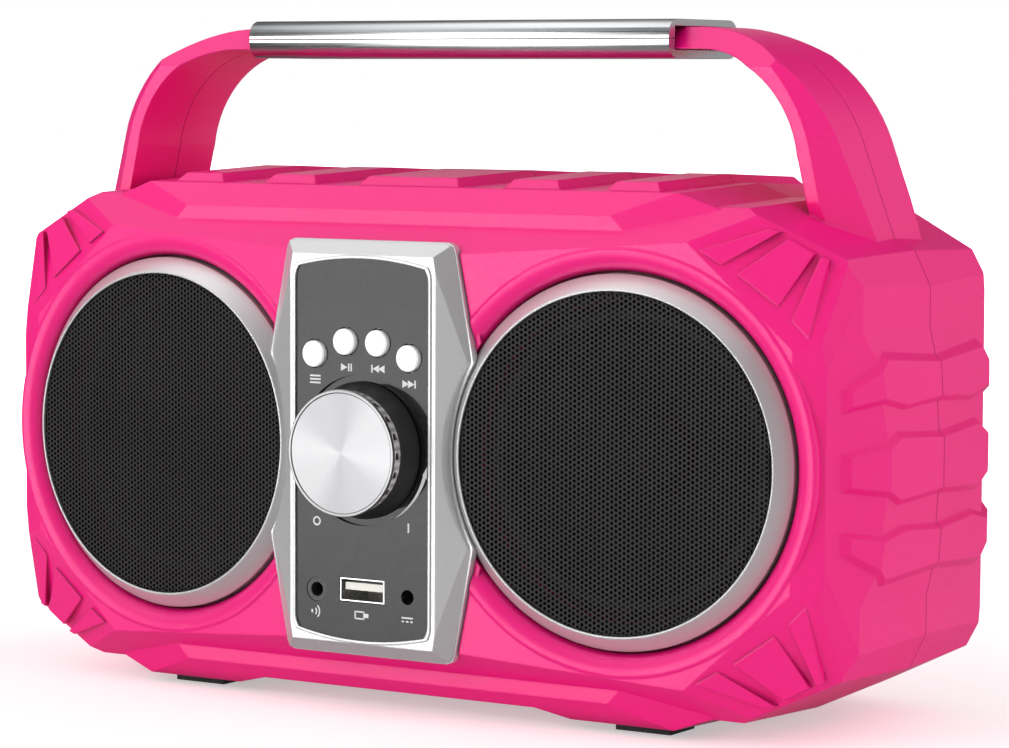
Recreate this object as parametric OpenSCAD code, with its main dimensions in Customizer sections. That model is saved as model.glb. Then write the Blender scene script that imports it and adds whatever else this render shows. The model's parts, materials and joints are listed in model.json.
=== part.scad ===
// Portable stereo speaker with a moulded carry handle.
//
// Two faceted shells meet on a vertical seam in the middle of the depth and carry
// between them two toed-out speakers, a centre control panel, a battery and a
// fixed handle with a metal grip.  The front is -Y, up is +Z, the origin lies on
// the ground at the middle of the four feet, and the seam is the plane Y = 0.

/* [Body] */
// Half width of the body across the side belt, at the seam
side_x = 128.1; // [127.4:0.1:128.6]
// Half height of the body at the top and bottom rails, at the seam
rail_z = 65.6; // [65:0.1:67]
// Height of the speaker centres above the ground
axis_h = 66.5; // [66.5:0.5:68]
// Wall thickness of the shells
wall = 2.4; // [2:0.1:2.6]
// Draft of the top and underside towards the seam, in degrees
draft = 2.2; // [1.6:0.1:2.4]
// Draft of the sides towards the seam, in degrees
side_draft = 3.6; // [3:0.1:4]
// Depth of the rear face behind the seam
rear_y = 47.5; // [46:0.5:50]
// Height of the ribs on the sides
rib_h = 1.5; // [1:0.1:2]

/* [Speakers] */
// Distance of each speaker centre from the middle
speaker_x = 67.3; // [67:0.1:68.5]
// Distance of each grille centre in front of the seam
grille_y = 50.2; // [50:0.1:51]
// Angle by which each speaker is turned away from the middle, in degrees
toe = 5.1; // [4.5:0.1:5.5]
// Visible radius of each grille
grille_r = 41; // [40.5:0.1:41]
// Outer radius of each trim ring
ring_r = 45; // [45:0.1:45.2]
// Greatest travel of each cone, forwards and backwards
cone_travel = 1.5; // [0.5:0.1:1.5]

/* [Control panel] */
// Distance of the front of the faceplate from the seam
plate_y = 56.7; // [56.5:0.1:57]
// Half width of the faceplate
plate_x = 19.6; // [19.4:0.1:19.8]
// Half height of the faceplate at the top of its arch
plate_z = 46.9; // [46.5:0.1:47.2]
// Radius of the volume knob at its cap
knob_r = 15.6; // [14:0.1:16]
// Radius of the push buttons
button_r = 3.2; // [2.8:0.1:3.2]
// Travel of the push buttons
button_travel = 0.6; // [0.3:0.1:0.6]

/* [Handle] */
// Height of the underside of the handle bar above the speaker centres
bar_low_z = 98.2; // [96:0.1:100]
// Height of the top of the handle bar above the speaker centres
bar_top_z = 103.6; // [103.2:0.1:104]
// Half length of the metal grip
grip_x = 63; // [55:0.5:64]
// Half depth of the metal grip
grip_y = 17.3; // [16.8:0.1:18]

/* [Hidden] */
big = 400;
gap = 0.1;
face_d = speaker_x * sin(toe) + grille_y * cos(toe) - 1.8;
side_x_end = 125.4;
// Where the front and rear corner facets start, as X and Y at the side of the face
front_corner = [119.05, -41.05];
rear_corner = [119.5, -43.4];
shelf_z = rail_z - 3.3;
boss_xz = [[106, 30], [106, -30], [-106, 30], [-106, -30], [0, 49], [0, -49]];
foot_x = 66.8;
foot_y = 28;
post_xz = [[-16.7, 30.5], [16.7, 30.5], [-16.7, -25.5], [16.7, -25.5]];
bezel_screw_xz = [[-14, 48.3], [14, 48.3], [-14, -48.3], [14, -48.3]];
button_xz = [[-13.9, 23.2], [-4.75, 26.5], [4.75, 26.5], [13.9, 23.2]];
aux_x = -13.5;
dc_x = 13.5;
port_z = -35.2;
usb_z = -34.6;
board_y = -46;
board_t = 1.6;

// ---------------------------------------------------------------- helpers

// Everything beyond a plane through p whose outward normal has this azimuth
// (0 is the front, positive towards +X) and elevation.
module past(az, el, p, grow = 0) {
  translate(p)
    rotate([90 - el, 0, az])
      translate([-big / 2, -big / 2, grow])
        cube([big, big, big]);
}

module both_sides() {
  for (m = [0, 1]) {
    mirror([m, 0, 0]) children();
  }
}

module four_corners() {
  for (m = [0, 1], n = [0, 1]) {
    mirror([m, 0, 0]) mirror([0, 0, n]) children();
  }
}

// Work done about the speaker centre height is lifted to the ground frame.
module lifted() {
  translate([0, 0, axis_h]) children();
}

// A cylinder along Y from y0 back to y1.
module y_rod(r, y0, y1, x = 0, z = 0, fn = 40) {
  translate([x, y1, z])
    rotate([90, 0, 0])
      cylinder(h = y1 - y0, r = r, $fn = fn);
}

// Local frame of a speaker: +Z runs out of the grille, Z = 0 is the grille face.
module at_speaker(side) {
  translate([side * speaker_x, -grille_y, axis_h])
    rotate([0, 0, side * toe])
      rotate([90, 0, 0])
        children();
}

module ring(r_out, r_in, z0, z1, fn = 96) {
  translate([0, 0, z0]) {
    difference() {
      cylinder(h = z1 - z0, r = r_out, $fn = fn);
      translate([0, 0, -1]) cylinder(h = z1 - z0 + 2, r = r_in, $fn = fn);
    }
  }
}

// ---------------------------------------------------------------- shells

// One half of the faceted body without rails, ribs or belt, standing in front of
// the seam.  grow moves every face outwards; corner is the vertical edge beside
// the face, where the corner facet starts.
module half_body(grow, side, front_toe, front_d, corner) {
  edge = [corner[0], corner[1], 0];
  difference() {
    translate([-150, -80, -90]) cube([300, 80 - gap, 180]);
    both_sides() past(front_toe, 0, [0, -front_d / cos(front_toe), 0], grow);
    both_sides() past(25, 0, edge, grow);
    four_corners() {
      past(0, 51, [0, -47.2, 52.6], grow);
      past(0, 90 - draft, [0, 0, shelf_z], grow);
      past(85, 64, [side_x_end - 5.4, 0, rail_z - 14.7], grow);
      past(87.6, 26.3, [side_x_end, 0, 41.7], grow);
      past(21.5, 17.4, [101.4, -41.5, 49.4], grow);
      past(55.6, 5.4, edge + [0, 0, 23], grow);
      past(65.6, 0, edge, grow);
      past(90 - side_draft, 0, [side, 0, 0], grow);
    }
  }
}

// The belt that thickens the middle of each side and fades out above and below.
module belt(front_toe, front_d, corner) {
  difference() {
    half_body(0, side_x, front_toe, front_d, corner);
    four_corners() {
      past(90 - side_draft, 3.8, [side_x, 0, 8]);
      past(90 - side_draft, 12.1, [side_x - 1.2, 0, 25.5]);
    }
    translate([-100, -80, -90]) cube([200, 80, 180]);
  }
}

// The raised rail along the top edge; the bottom one is its mirror image.
module rail() {
  difference() {
    translate([-120, -70, 45]) cube([240, 70 - gap, 40]);
    past(0, 0, [0, -44.4, 0]);
    past(0, 41, [0, -44.6, rail_z - 7.4]);
    past(0, 90 - draft, [0, 0, rail_z]);
    both_sides() {
      past(12.9, 12.9, [62, -44.6, 58.2]);
      past(83.8, 70.2, [78.5, 0, rail_z]);
    }
  }
}

// Recess between the foot blocks of the bottom rail.
module foot_recess() {
  difference() {
    translate([-70, -70, -80]) cube([140, 80, 40]);
    past(0, 90 + draft, [0, 0, 2.2 - rail_z]);
    both_sides() past(90, 76.3, [47, 0, 2.2 - rail_z]);
  }
}

// Raised bars that run front to back over the top.
module top_bar(x0, x1) {
  difference() {
    translate([0, 0, rail_z])
      rotate([90 + draft, 0, 0])
        linear_extrude(height = 36.9)
          polygon([[x0, -2], [x1, -2], [x1, 0], [x1 - 1.9, 2.1], [x0 + 1.9, 2.1], [x0, 0]]);
    translate([-100, -gap, 0]) cube([200, 10, 100]);
    past(0, 45, [0, -36.7, rail_z - 1.4]);
  }
}

// Block for a rib: its top faces lie parallel to the side and to the corner facet,
// and its front end is cut across the corner facet.
module rib_block(tilt, corner) {
  edge = [corner[0], corner[1], 0];
  difference() {
    translate([114, -60, -40]) cube([40, 60 - gap, 80]);
    past(90 - side_draft, tilt, [side_x, 0, 8], rib_h);
    past(65.6, 0, edge, rib_h);
    past(33, 0, edge + [1.8, 3.95, 0]);
  }
}

module middle_rib(corner) {
  edge = [corner[0], corner[1], 0];
  difference() {
    rib_block(0, corner);
    for (m = [0, 1]) {
      mirror([0, 0, m]) {
        past(90, 45, [side_x, 0, 7.5]);
        past(58, 45, edge + [1.75, 4.65, 5]);
      }
    }
  }
}

// The upper rib: its end is cut off at a slant above the corner.
module upper_rib(corner) {
  edge = [corner[0], corner[1], 0];
  difference() {
    rib_block(3.8, corner);
    past(90, 45, [side_x - 1.1, 0, 25.6]);
    past(90, -45, [side_x - 0.5, 0, 14.5]);
    past(41.5, 39.8, edge + [1.55, 4.05, 19.7]);
    past(74, -45, edge + [1.65, 4.15, 13.4]);
  }
}

module ribs(corner) {
  middle_rib(corner);
  upper_rib(corner);
  mirror([0, 0, 1]) upper_rib(corner);
}

// Raised wedges that fan out over each corner facet.
module claws() {
  difference() {
    rotate([90, 0, 0]) {
      linear_extrude(height = 60) {
        polygon([[88.2, 51], [93.7, 47.8], [105.8, 55.6], [103.5, 56.2]]);
        polygon([[97.4, 45.7], [107.4, 38.4], [114, 50.7], [107.9, 54]]);
        polygon([[110.7, 35.4], [115.1, 31.1], [117.3, 49.4], [115.6, 50]]);
      }
    }
    past(18.6, 12.4, [101.4, -41.5, 49.4], 1.2);
    translate([0, -36.5, 0]) cube([200, 100, 100]);
  }
}

// Outline of one handle arm and its share of the bar, in the X-Z plane.
module handle_outline(inset) {
  intersection() {
    difference() {
      union() {
        polygon([
          [0, 40], [0, bar_top_z - inset], [67, bar_top_z - inset], [67, 60.6],
          [107.2 - inset, 75.7], [120.6 - inset, 40]
        ]);
        translate([67, bar_top_z - 43]) circle(r = 43 - inset, $fn = 120);
      }
      translate([69.8, bar_low_z - 29.3]) circle(r = 29.3 + inset, $fn = 96);
      translate([-1, 0]) square([70.8, bar_low_z + inset]);
      polygon([[60, 0], [60, 70], [69.8, 68.9], [98 + inset, 76.3], [106.6 + inset, 40], [116 + inset, 0]]);
    }
    translate([-1, 44]) square([140, 100]);
  }
}

// Chamfer along the outer front edge of an arm: a cone round the bend that runs
// out towards the bar, then a flat down to the body.
module arm_chamfer() {
  intersection() {
    translate([60.3, 0, bar_top_z - 39.3])
      rotate([90, 0, 0])
        rotate_extrude($fn = 96)
          polygon([[43, 18.4], [61.4, 0], [80, 0], [80, 30], [43, 30]]);
    translate([60, -60, bar_top_z - 31.6]) cube([80, 60, 60]);
  }
  past(45, 9, [102.6, -18.4, bar_top_z - 31.6]);
}

// One half of the handle, this deep in front of the seam.
module half_handle(deep, chamfered) {
  difference() {
    both_sides() {
      difference() {
        rotate([90, 0, 0])
          linear_extrude(height = deep)
            handle_outline(0);
        if (chamfered) {
          arm_chamfer();
        }
      }
    }
    past(0, -6.3, [0, -deep + 0.2, 60]);
    past(0, 45, [0, -8.8, bar_top_z]);
    translate([-200, -gap, 0]) cube([400, 10, 200]);
  }
}

// Channel that keeps the handle arms hollow.
module handle_channel() {
  both_sides() {
    intersection() {
      rotate([90, 0, 0])
        linear_extrude(height = 9)
          handle_outline(2.6);
      translate([66, -20, 66]) cube([60, 30, 40]);
    }
  }
}

// Rounded lip around a speaker and the well behind it.
module speaker_lip() {
  rotate_extrude($fn = 120) {
    intersection() {
      translate([50.4, -6.4]) circle(r = 5, $fn = 48);
      translate([45.4, -6.4]) square([5, 6]);
    }
    translate([50.4, -2.6]) circle(r = 1.2, $fn = 24);
    translate([45.4, -10.4]) square([2.6, 4.1]);
    translate([48, -8.4]) square([3.6, 5.8]);
  }
}

module speaker_baffle() {
  ring(48, 38.5, -10.4, -8);
}

// Outline of the bezel: a plate with blunt corners, waisted between the two speakers.
module bezel_outline(grow) {
  difference() {
    for (m = [0, 1]) {
      mirror([m, 0]) {
        polygon([
          [-1, -51.3 - grow], [22.6 + grow, -51.3 - grow], [24.2 + grow, -50.7 - grow],
          [24.9 + grow, -49.3 - grow], [30.2 + grow, -22.1], [30.2 + grow, 22.1],
          [24.9 + grow, 49.3 + grow], [24.2 + grow, 50.7 + grow], [22.6 + grow, 51.3 + grow],
          [-1, 51.3 + grow]
        ]);
      }
    }
    for (s = [-1, 1]) {
      translate([s * (speaker_x + 0.1), 0]) circle(r = 43.5 - grow, $fn = 120);
    }
  }
}

module bezel_prism(grow, y0, y1) {
  translate([0, y1, 0])
    rotate([90, 0, 0])
      linear_extrude(height = y1 - y0)
        bezel_outline(grow);
}

module shell_outside(front_toe, front_d, corner, handle_deep, chamfered) {
  half_body(0, side_x_end, front_toe, front_d, corner);
  belt(front_toe, front_d, corner);
  rail();
  difference() {
    mirror([0, 0, 1]) rail();
    foot_recess();
  }
  both_sides() ribs(corner);
  four_corners() claws();
  top_bar(-15, 15);
  both_sides() {
    top_bar(28, 44);
    top_bar(57, 72);
  }
  half_handle(handle_deep, chamfered);
}

module front_shell() {
  color("#f4307f")
  lifted() {
    difference() {
      union() {
        difference() {
          union() {
            shell_outside(toe, face_d, front_corner, 18.4, true);
          }
          difference() {
            half_body(-wall, side_x_end, toe, face_d, front_corner);
            for (p = boss_xz) {
              y_rod(3.8, -60, 0, p[0], p[1]);
            }
          }
          handle_channel();
          for (s = [-1, 1]) {
            translate([0, 0, -axis_h]) at_speaker(s) translate([0, 0, -8]) cylinder(h = 20, r = 50.5, $fn = 120);
          }
        }
        intersection() {
          for (s = [-1, 1]) {
            translate([0, 0, -axis_h]) at_speaker(s) {
              speaker_lip();
              speaker_baffle();
            }
          }
          translate([-140, -80, -62]) cube([280, 78, 124]);
        }
        intersection() {
          bezel_prism(1.6, -52, -48.6);
          half_body(-0.6, side_x_end, toe, face_d, front_corner);
        }
      }
      for (s = [-1, 1]) {
        translate([0, 0, -axis_h]) at_speaker(s) {
          translate([0, 0, -12]) cylinder(h = 30, r = 38.5, $fn = 96);
          translate([0, 0, -8]) cylinder(h = 30, r = 45.4, $fn = 120);
          for (a = [45:90:315]) {
            rotate([0, 0, a]) translate([42, 0, -11]) cylinder(h = 2.6, r = 1.1, $fn = 16);
          }
        }
      }
      bezel_prism(0.25, -80, -51);
      translate([-20.2, -60, -45.4]) cube([40.4, 20, 90.8]);
      for (p = bezel_screw_xz) {
        y_rod(1.2, -60, -40, p[0], p[1], 16);
        y_rod(2.3, -48.6, -40, p[0], p[1], 24);
      }
      for (p = boss_xz) {
        y_rod(1.5, -20, 1, p[0], p[1], 20);
      }
      for (x = [-40, 40]) {
        translate([x, -7, 90]) cylinder(h = 12.8, r = 1.15, $fn = 20);
      }
      both_sides() foot_pocket();
    }
  }
}

// Shallow pocket for one rubber foot.
module foot_pocket() {
  translate([foot_x - 7.9, -foot_y - 6.1, -66.5]) cube([15.8, 12.2, 4.2]);
}

module rear_shell() {
  color("#f4307f")
  lifted() {
    difference() {
      mirror([0, 1, 0]) {
        difference() {
          shell_outside(0, rear_y, rear_corner, 15.6, false);
          half_body(-wall, side_x_end, 0, rear_y, rear_corner);
          handle_channel();
          both_sides() foot_pocket();
        }
        for (p = boss_xz) {
          intersection() {
            y_rod(4.6, -60, -gap, p[0], p[1]);
            half_body(-1, side_x_end, 0, rear_y, rear_corner);
          }
        }
      }
      for (p = boss_xz) {
        y_rod(1.7, -1, 60, p[0], p[1], 20);
        y_rod(3.3, 8, 60, p[0], p[1], 32);
      }
      for (x = [-30, 30], z = [-13, 13]) {
        y_rod(1.1, 40, rear_y - 1, x, z, 16);
      }
      for (x = [-40, 40]) {
        translate([x, 7, 90]) cylinder(h = 12.8, r = 1.15, $fn = 20);
      }
    }
  }
}

module shell_screws() {
  color("#55585c")
  lifted() {
    for (p = boss_xz) {
      y_rod(1.45, -12, 8, p[0], p[1], 20);
      difference() {
        y_rod(2.9, 8, 10.2, p[0], p[1], 32);
        translate([p[0] - 0.5, 9.2, p[1] - 1.8]) cube([1, 2, 3.6]);
        translate([p[0] - 1.8, 9.2, p[1] - 0.5]) cube([3.6, 2, 1]);
      }
    }
  }
}

// Soft pads under the foot blocks.
module foot_pads() {
  color("#2c2a2b")
  for (x = [-foot_x, foot_x], y = [-foot_y, foot_y]) {
    translate([x - 7.8, y - 6, 0]) cube([15.6, 12, 4.1]);
  }
}

// ---------------------------------------------------------------- grip

module grip_section(inset) {
  intersection() {
    union() {
      translate([-grip_y + 4, 95.9 + inset]) square([2 * grip_y - 8, 9.6 - 2 * inset]);
      translate([-grip_y + inset, 99.9]) square([2 * grip_y - 2 * inset, 1.6]);
      for (s = [-1, 1], z = [99.9, 101.5]) {
        translate([s * (grip_y - 4), z]) circle(r = 4 - inset, $fn = 48);
      }
    }
    translate([-40, 90]) square([80, 20]);
  }
}

module grip_body() {
  difference() {
    translate([-grip_x, 0, 0])
      rotate([90, 0, 90])
        linear_extrude(height = 2 * grip_x)
          grip_section(0);
    translate([-grip_x - 1, -14.3, bar_low_z - 0.15])
      cube([2 * grip_x + 2, 28.6, bar_top_z - bar_low_z + 0.3]);
  }
}

module grip_upper() {
  color("#d5d7da")
  lifted() {
    difference() {
      grip_body();
      translate([-100, -40, 80]) cube([200, 80, 20.75]);
    }
  }
}

module grip_lower() {
  color("#c9cbce")
  lifted() {
    difference() {
      grip_body();
      translate([-100, -40, 100.65]) cube([200, 80, 20]);
      for (x = [-40, 40], y = [-7, 7]) {
        translate([x, y, 90]) cylinder(h = 12, r = 1.3, $fn = 20);
        translate([x, y, 90]) cylinder(h = 7, r = 2.5, $fn = 32);
      }
    }
  }
}

module grip_screws() {
  color("#55585c")
  lifted() {
    for (x = [-40, 40], y = [-7, 7]) {
      translate([x, y, 95.98]) cylinder(h = 1, r = 2.3, $fn = 32);
      translate([x, y, 96.98]) cylinder(h = 5.6, r = 1.1, $fn = 20);
    }
  }
}

// ---------------------------------------------------------------- speakers

// The ring laps over the edge of the grille and slopes back to its outer wall.
module trim_ring(side) {
  color("#c4c6c9")
  difference() {
    at_speaker(side)
      rotate_extrude($fn = 120)
        polygon([
          [grille_r, 0.03], [grille_r, 0.3], [grille_r + 0.25, 0.45], [grille_r + 0.6, 0.3],
          [ring_r, -3.5], [ring_r, -7.98], [grille_r + 1.15, -7.98], [grille_r + 1.15, -1.2],
          [grille_r + 0.5, -1.2], [grille_r + 0.5, 0.03]
        ]);
    lifted() bezel_prism(0.25, -80, -50.9);
  }
}

// A flat disc with a stepped skirt that reaches back to the baffle and turns in there.
module grille(side) {
  color("#2b2b2d")
  at_speaker(side)
    rotate_extrude($fn = 96)
      polygon([
        [0, 0], [grille_r + 0.4, 0], [grille_r + 0.4, -1.3], [grille_r + 1.05, -1.3],
        [grille_r + 1.05, -7.98], [38.6, -7.98], [38.6, -7.5], [grille_r + 0.35, -7.5],
        [grille_r + 0.35, -2], [grille_r - 0.3, -2], [grille_r - 0.3, -0.75], [0, -0.75]
      ]);
}

module gasket(side) {
  color("#3a3a3c")
  at_speaker(side) {
    difference() {
      ring(44.3, 38.5, -11.4, -10.4, 72);
      for (a = [45:90:315]) {
        rotate([0, 0, a]) translate([42, 0, -12]) cylinder(h = 3, r = 1.3, $fn = 16);
      }
    }
  }
}

module basket(side) {
  color("#4a4c50")
  at_speaker(side) {
    difference() {
      union() {
        ring(44.3, 36.2, -12.6, -11.4, 72);
        rotate_extrude($fn = 72)
          polygon([[36.2, -12.6], [38.6, -12.6], [27.6, -29], [27.6, -32], [13.4, -32], [13.4, -30.4], [25.6, -30.4]]);
        // solder tag on the side facing the middle
        translate([-side * 31.5 - 4.5, -3, -32]) cube([9, 6, 1.2]);
      }
      for (a = [45:90:315]) {
        rotate([0, 0, a]) translate([42, 0, -14]) cylinder(h = 4, r = 1.3, $fn = 16);
      }
      for (a = [0:60:300]) {
        rotate([0, 0, a]) translate([24, -5.5, -28]) cube([20, 11, 12.5]);
      }
    }
  }
}

module magnet(side) {
  color("#6d7075")
  at_speaker(side) {
    difference() {
      union() {
        ring(23, 11.6, -35, -32, 72);
        ring(27.5, 14, -43, -35, 72);
        translate([0, 0, -46]) cylinder(h = 3, r = 23, $fn = 72);
      }
    }
    translate([0, 0, -43]) cylinder(h = 11, r = 9.6, $fn = 48);
  }
}

module surround(side) {
  color("#1c1c1d")
  at_speaker(side) {
    rotate_extrude($fn = 72) {
      difference() {
        translate([35.1, -11.38]) circle(r = 3.1, $fn = 32);
        translate([35.1, -11.38]) circle(r = 2.4, $fn = 32);
        translate([30, -20]) square([12, 8.62]);
      }
    }
  }
}

// The spider lies just behind the cone's neck at the end of its inward stroke.
module spider(side) {
  color("#b0893a")
  at_speaker(side) {
    translate([0, 0, -24.7 - cone_travel])
      rotate_extrude($fn = 60)
        polygon([
          [10.7, 0], [12.5, 0.3], [14.5, -0.7], [16.5, 0.3], [18.5, -0.7], [20.5, 0.3],
          [23.5, -0.5], [23.5, -1], [20.5, -0.2], [18.5, -1.2], [16.5, -0.2], [14.5, -1.2],
          [12.5, -0.2], [10.7, -0.5]
        ]);
    ring(24.8, 23.5, -30.4, -24.7 - cone_travel, 60);
  }
}

module cone(side) {
  color("#29292b")
  at_speaker(side) {
    rotate_extrude($fn = 72)
      polygon([
        [31.9, -10.6], [31.2, -10.6], [31.2, -12.2], [10.62, -23.4], [10.62, -24.3], [31.4, -13], [31.9, -12.8]
      ]);
  }
}

module dust_cap(side) {
  color("#19191a")
  at_speaker(side) {
    rotate_extrude($fn = 60) {
      intersection() {
        difference() {
          translate([0, -30.2]) circle(r = 15.4, $fn = 72);
          translate([0, -30.2]) circle(r = 14.8, $fn = 72);
        }
        translate([0, -19.1]) square([10.6, 10]);
      }
    }
  }
}

module voice_coil(side) {
  color("#b06f35")
  at_speaker(side) {
    ring(10.6, 10.2, -36, -19.1, 60);
    ring(10.95, 10.6, -35.4, -31, 60);
  }
}

module driver_screws() {
  color("#55585c")
  for (s = [-1, 1]) {
    at_speaker(s) {
      for (a = [45:90:315]) {
        rotate([0, 0, a]) translate([42, 0, 0]) {
          translate([0, 0, -12.6]) cylinder(h = 4.1, r = 1.05, $fn = 16);
          translate([0, 0, -14.2]) cylinder(h = 1.6, r = 2.1, $fn = 24);
        }
      }
    }
  }
}

// ---------------------------------------------------------------- panel

module rounded(w, h, r, fn = 40) {
  square([w - 2 * r, h], center = true);
  square([w, h - 2 * r], center = true);
  for (x = [-1, 1], y = [-1, 1]) {
    translate([x * (w / 2 - r), y * (h / 2 - r)]) circle(r = r, $fn = fn);
  }
}

// Faceplate outline: arched top and bottom, rounded corners.
module plate_outline(grow) {
  arch = 82;
  intersection() {
    rounded(2 * (plate_x + grow), 2 * (plate_z + grow), 5.4);
    translate([0, plate_z + grow - arch]) circle(r = arch, $fn = 160);
    translate([0, arch - plate_z - grow]) circle(r = arch, $fn = 160);
  }
}

module plate_prism(grow, y0, y1) {
  translate([0, y1, 0])
    rotate([90, 0, 0])
      linear_extrude(height = y1 - y0)
        plate_outline(grow);
}

// Slopes that rise from the rim of the bezel to the lip round the faceplate.
module bezel_slopes() {
  difference() {
    bezel_prism(-0.3, -56.8, -52);
    both_sides() past(22.3, 0, [29.7, -53.4, 0]);
    four_corners() {
      past(40.3, 6.5, [29.7, -53.4, 20]);
      past(0, 48, [0, -53.4, 50.9]);
    }
    for (s = [-1, 1]) {
      y_rod(44.4, -70, -40, s * (speaker_x + 0.2), 0, 120);
    }
  }
}

module bezel() {
  color("#cfd1d3")
  lifted() {
    difference() {
      union() {
        bezel_prism(0, -53.1, -51);
        bezel_slopes();
        plate_prism(0.75, -57.2, -54);
        translate([-19.9, -52, -45.1]) cube([39.8, 4.4, 90.2]);
      }
      plate_prism(0.08, -60, -54.7);
      // open space behind the back plate
      translate([-18.2, -52.7, -43.6]) cube([36.4, 10, 87.2]);
      y_rod(5, -60, -50, 0, 0);
      for (p = button_xz) {
        y_rod(button_r + 0.25, -60, -50, p[0], p[1]);
      }
      translate([-16.5, -60, 34.4]) cube([33, 10, 9]);
      y_rod(3.1, -60, -50, aux_x, port_z);
      y_rod(3.1, -60, -50, dc_x, port_z);
      translate([-6.8, -60, usb_z - 3.1]) cube([13.6, 10, 6.2]);
      for (p = bezel_screw_xz) {
        y_rod(1.03, -53.2, -40, p[0], p[1], 16);
      }
    }
    for (p = post_xz) {
      difference() {
        y_rod(1.8, -52.8, board_y, p[0], p[1], 24);
        y_rod(0.8, -51, board_y + 1, p[0], p[1], 16);
      }
    }
  }
}

module faceplate() {
  color("#1d1d20")
  lifted() {
    difference() {
      plate_prism(0, -plate_y, -54.72);
      y_rod(18.6, -60, -55.9, 0, 0, 96);
      y_rod(3.75, -60, -50, 0, 0);
      for (p = button_xz) {
        y_rod(button_r + 0.45, -60, -50, p[0], p[1]);
      }
      y_rod(3.05, -60, -50, aux_x, port_z);
      y_rod(1.85, -60, -50, dc_x, port_z);
      translate([-6.75, -60, usb_z - 3.05]) cube([13.5, 10, 6.1]);
    }
  }
}

module bezel_screws() {
  color("#55585c")
  lifted() {
    for (p = bezel_screw_xz) {
      y_rod(1, -53, -48.6, p[0], p[1], 16);
      y_rod(2, -48.6, -47.2, p[0], p[1], 24);
    }
  }
}

module main_board() {
  color("#1f6b3a")
  lifted() {
    difference() {
      translate([-18, board_y, -43.4]) cube([36, board_t, 86.8]);
      translate([aux_x - 4.15, board_y - 1, port_z - 4.15]) cube([8.3, 4, 8.3]);
      translate([dc_x - 3.9, board_y - 1, port_z - 3.9]) cube([7.8, 4, 7.8]);
      translate([-6.8, board_y - 1, usb_z - 3.1]) cube([13.6, 4, 6.2]);
      for (p = post_xz) {
        y_rod(0.85, -50, -40, p[0], p[1], 16);
      }
    }
  }
}

module board_screws() {
  color("#8d9094")
  lifted() {
    for (p = post_xz) {
      y_rod(0.75, -50.5, board_y + board_t, p[0], p[1], 16);
      y_rod(1.7, board_y + board_t, board_y + board_t + 1.2, p[0], p[1], 24);
    }
  }
}

module display_module() {
  color("#17181a")
  lifted() {
    translate([-16.2, -54.6, 34.7]) cube([32.4, 8.6, 8.4]);
  }
}

// A push button: cap, retaining flange and stem.
module push_button(p) {
  color("#e3e4e6")
  lifted() {
    y_rod(button_r - 0.25, -57.9, -57.6, p[0], p[1], 48);
    y_rod(button_r, -57.65, -52.5, p[0], p[1], 48);
    y_rod(button_r + 0.9, -52.5, -51.8, p[0], p[1], 48);
    y_rod(1.5, -51.8, -50.1 - button_travel, p[0], p[1], 24);
  }
}

module mode_button() {
  push_button(button_xz[0]);
}

module play_button() {
  push_button(button_xz[1]);
}

module previous_button() {
  push_button(button_xz[2]);
}

module next_button() {
  push_button(button_xz[3]);
}

module tact_switches() {
  color("#2a2a2c")
  lifted() {
    for (p = button_xz) {
      translate([p[0] - 3, board_y - 3.4, p[1] - 3]) cube([6, 3.4, 6]);
      y_rod(1.6, -50, board_y - 3.4, p[0], p[1], 24);
    }
  }
}

module volume_pot() {
  color("#8a8d91")
  lifted() {
    difference() {
      union() {
        translate([-6, -52.5, -6.5]) cube([12, 6.5, 13]);
        y_rod(3.5, -59, -52.5, 0, 0);
      }
      y_rod(3.05, -60, -50, 0, 0);
    }
  }
}

module pot_nut() {
  color("#b9bbbe")
  lifted() {
    difference() {
      y_rod(5.77, -57.9, -55.92, 0, 0, 6);
      y_rod(3.52, -60, -50, 0, 0);
    }
  }
}

module pot_shaft() {
  color("#b9bbbe")
  lifted() {
    difference() {
      y_rod(3, -63.4, -50.4, 0, 0);
      translate([1.5, -64, -4]) cube([3, 4.4, 8]);
    }
  }
}

// The knob is drawn from its open base at Y = -56.3 towards the front.
module on_knob() {
  translate([0, -56.3, 0]) rotate([90, 0, 0]) children();
}

module knob_skirt() {
  color("#1b1b1d")
  lifted() {
    on_knob() {
      rotate_extrude($fn = 96)
        polygon([
          [13.4, 0], [knob_r + 1.1, 0], [knob_r + 1.3, 0.3], [knob_r - 0.3, 5.5], [knob_r - 0.5, 5.9],
          [5.4, 5.9], [5.4, 4.3], [12.2, 4.3]
        ]);
      difference() {
        translate([0, 0, 3.2]) cylinder(h = 4.4, r = 5.4, $fn = 40);
        translate([0, 0, 3]) cylinder(h = 5, r = 3.02, $fn = 40);
      }
      translate([1.53, -2.4, 4]) cube([1.6, 4.8, 3.4]);
    }
  }
}

module knob_band() {
  color("#9a9ca1")
  lifted() {
    on_knob() {
      difference() {
        ring(knob_r - 0.5, 12.8, 5.92, 8.68);
        for (a = [0:18:342]) {
          rotate([0, 0, a]) translate([knob_r - 1.1, -0.8, 6.6]) cube([2, 1.6, 1.3]);
        }
      }
    }
  }
}

module knob_cap() {
  color("#d9dadc")
  lifted() {
    on_knob() {
      rotate_extrude($fn = 96)
        polygon([
          [0, 7.7], [12.7, 7.7], [12.7, 8.7], [knob_r - 0.3, 8.7], [knob_r, 9], [knob_r, 9.4],
          [knob_r - 0.25, 9.62], [knob_r - 0.75, 9.62], [knob_r - 1, 9.4], [0, 9.4]
        ]);
    }
  }
}

// Stereo socket standing through the board, open to the front.
module aux_jack() {
  color("#232325")
  lifted() {
    difference() {
      union() {
        translate([aux_x - 4, -52.6, port_z - 4]) cube([8, 10.8, 8]);
        y_rod(2.95, -56.5, -52.6, aux_x, port_z);
      }
      y_rod(1.8, -60, -43, aux_x, port_z);
    }
  }
}

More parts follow.
